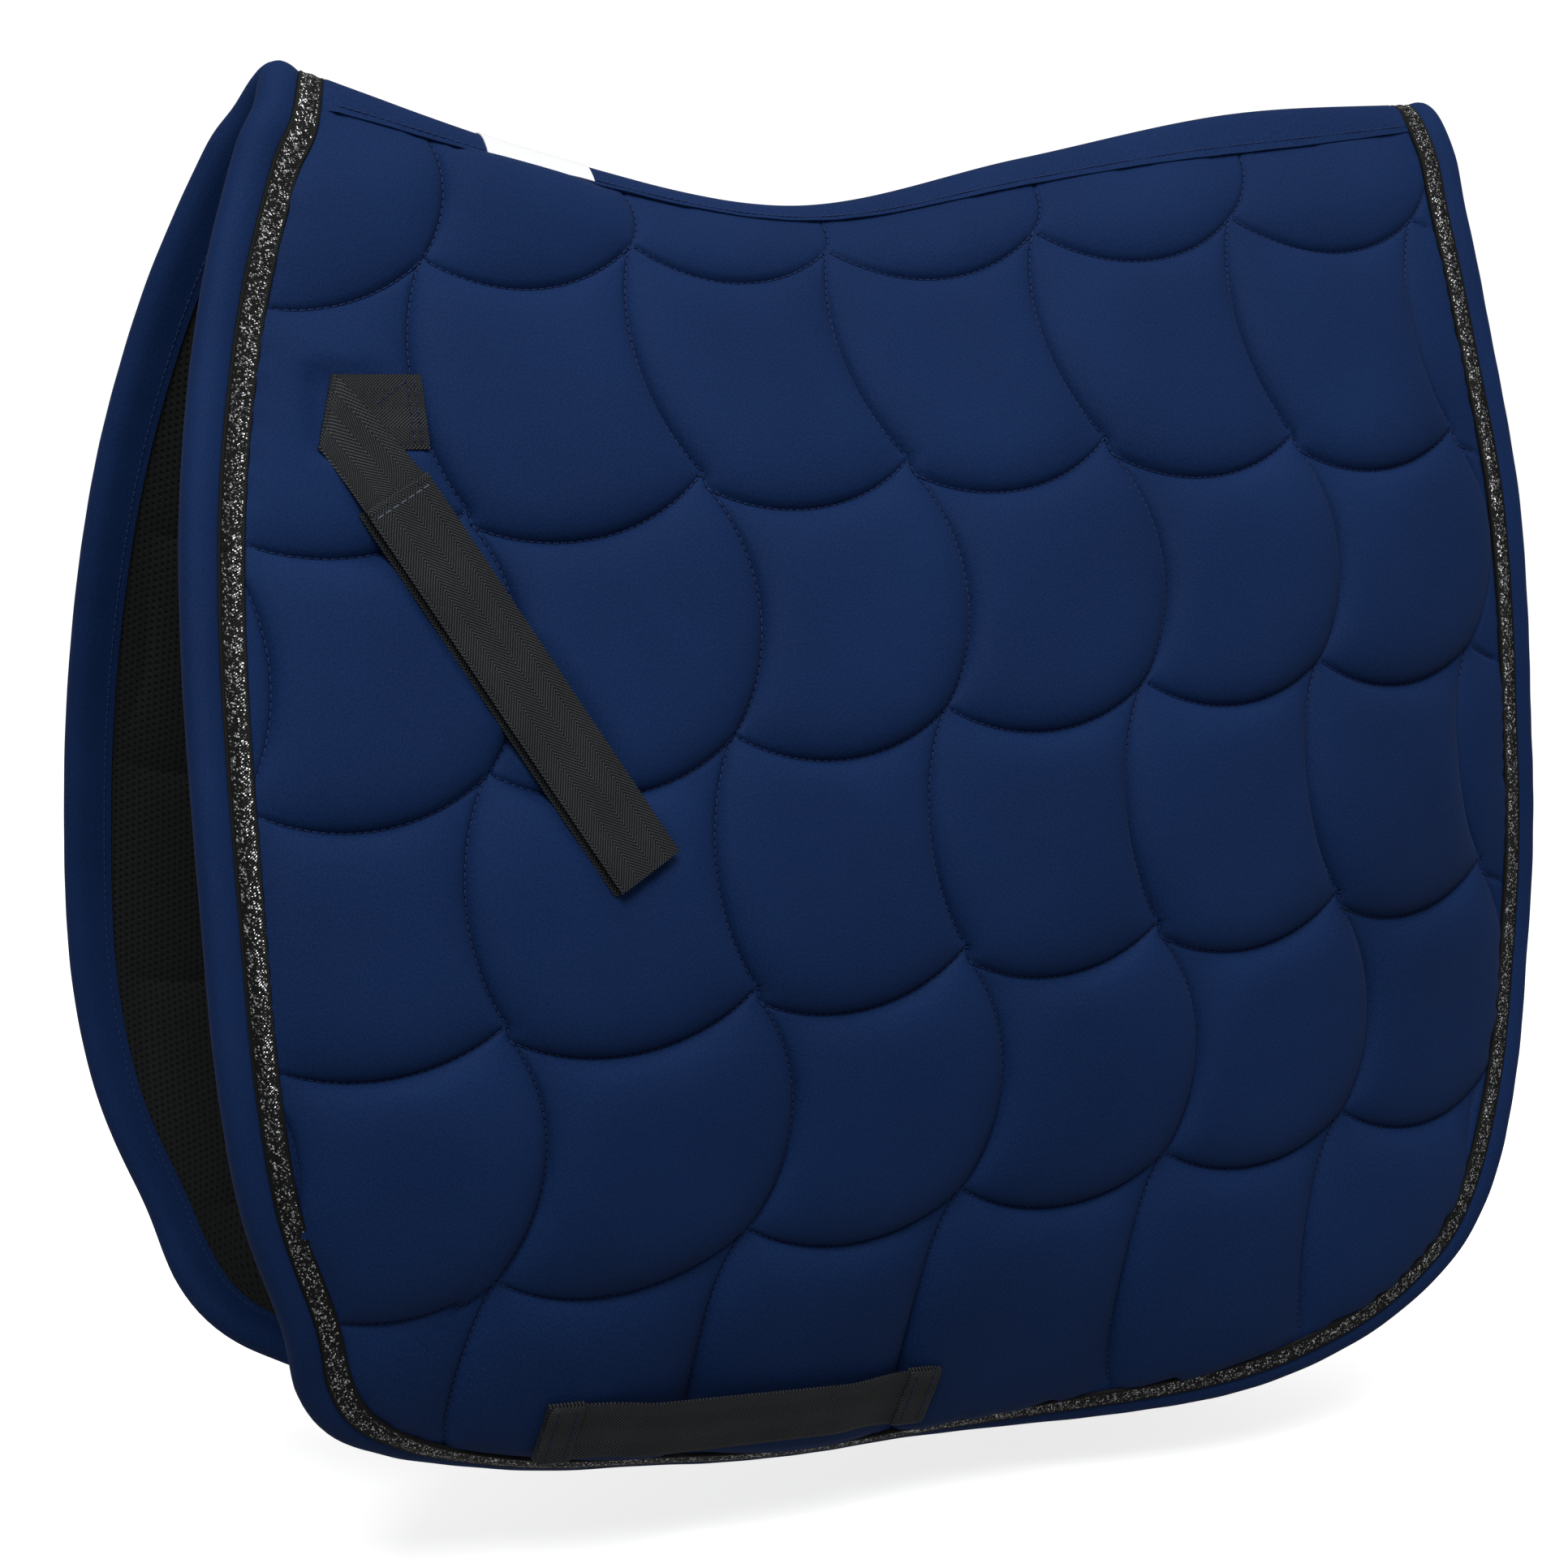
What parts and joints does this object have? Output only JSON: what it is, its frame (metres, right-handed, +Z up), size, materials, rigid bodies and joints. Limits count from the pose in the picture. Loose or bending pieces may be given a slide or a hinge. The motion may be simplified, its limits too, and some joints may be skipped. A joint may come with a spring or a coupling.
{
  "type": "saddle pad",
  "caption": "Full-size quilted dressage saddle pad with bound edges, glitter braid, hook-and-loop billet straps and girth keepers.",
  "frame": {"origin": "under the spine seam at its lowest point, where the horse's back holds the pad", "axes": "+X towards the horse's tail, +Y to its right side, +Z up; the pad is the same on both sides of Y = 0"},
  "size_m": [0.6612, 0.2368, 0.598],
  "materials": {
    "navy_cloth": "fine navy twill, quilted, with a soft sheen",
    "navy_tape": "navy binding tape",
    "foam": "soft polyurethane foam and wadding",
    "mesh_lining": "black honeycomb mesh",
    "braid": "black braid with a silver metallic thread centre",
    "webbing": "charcoal herringbone webbing",
    "loop_pile": "black loop pile",
    "hook_tape": "black hook tape",
    "label_white": "plain white woven patch"
  },
  "bodies": {
    "spine": {"spine_tape": "navy_tape", "spine_seam": "navy_tape", "label": "label_white"},
    "left_panel": {"left_outer_cover": "navy_cloth", "left_wadding": "foam", "left_lining": "mesh_lining", "left_edge_binding": "navy_tape", "left_glitter_braid": "braid", "left_billet_anchor": "webbing", "left_girth_keeper": "webbing", "left_keeper_front_fold": "webbing", "left_keeper_rear_fold": "webbing"},
    "left_under_strap": {"left_under_strap": "webbing", "left_loop_tape": "loop_pile"},
    "left_top_strap": {"left_top_strap": "webbing", "left_hook_tape": "hook_tape"},
    "right_panel": {"right_outer_cover": "navy_cloth", "right_wadding": "foam", "right_lining": "mesh_lining", "right_edge_binding": "navy_tape", "right_glitter_braid": "braid", "right_billet_anchor": "webbing", "right_girth_keeper": "webbing", "right_keeper_front_fold": "webbing", "right_keeper_rear_fold": "webbing"},
    "right_under_strap": {"right_under_strap": "webbing", "right_loop_tape": "loop_pile"},
    "right_top_strap": {"right_top_strap": "webbing", "right_hook_tape": "hook_tape"}
  },
  "joints": [
    {"name": "left_panel_fold", "type": "hinge", "parent": "spine", "child": "left_panel", "pos_m": [0, 0, 0.073], "axis": [-1, 0, 0], "range_deg": [-3, 25], "stiffness_Nm_per_rad": 5, "springref_deg": 4.39},
    {"name": "left_strap_lift", "type": "hinge", "parent": "left_panel", "child": "left_under_strap", "pos_m": [-0.20878, -0.07842, -0.10323], "axis": [-0.8643, -0.0946, -0.494], "range_deg": [0, 75]},
    {"name": "left_strap_peel", "type": "hinge", "parent": "left_under_strap", "child": "left_top_strap", "pos_m": [-0.20878, -0.07842, -0.10323], "axis": [-0.8643, -0.0946, -0.494], "range_deg": [0, 100]},
    {"name": "right_panel_fold", "type": "hinge", "parent": "spine", "child": "right_panel", "pos_m": [0, 0, 0.073], "axis": [1, 0, 0], "range_deg": [-3, 25], "stiffness_Nm_per_rad": 5, "springref_deg": 4.39},
    {"name": "right_strap_lift", "type": "hinge", "parent": "right_panel", "child": "right_under_strap", "pos_m": [-0.20878, 0.07842, -0.10323], "axis": [0.8643, -0.0946, 0.494], "range_deg": [0, 75]},
    {"name": "right_strap_peel", "type": "hinge", "parent": "right_under_strap", "child": "right_top_strap", "pos_m": [-0.20878, 0.07842, -0.10323], "axis": [0.8643, -0.0946, 0.494], "range_deg": [0, 100]}
  ]
}
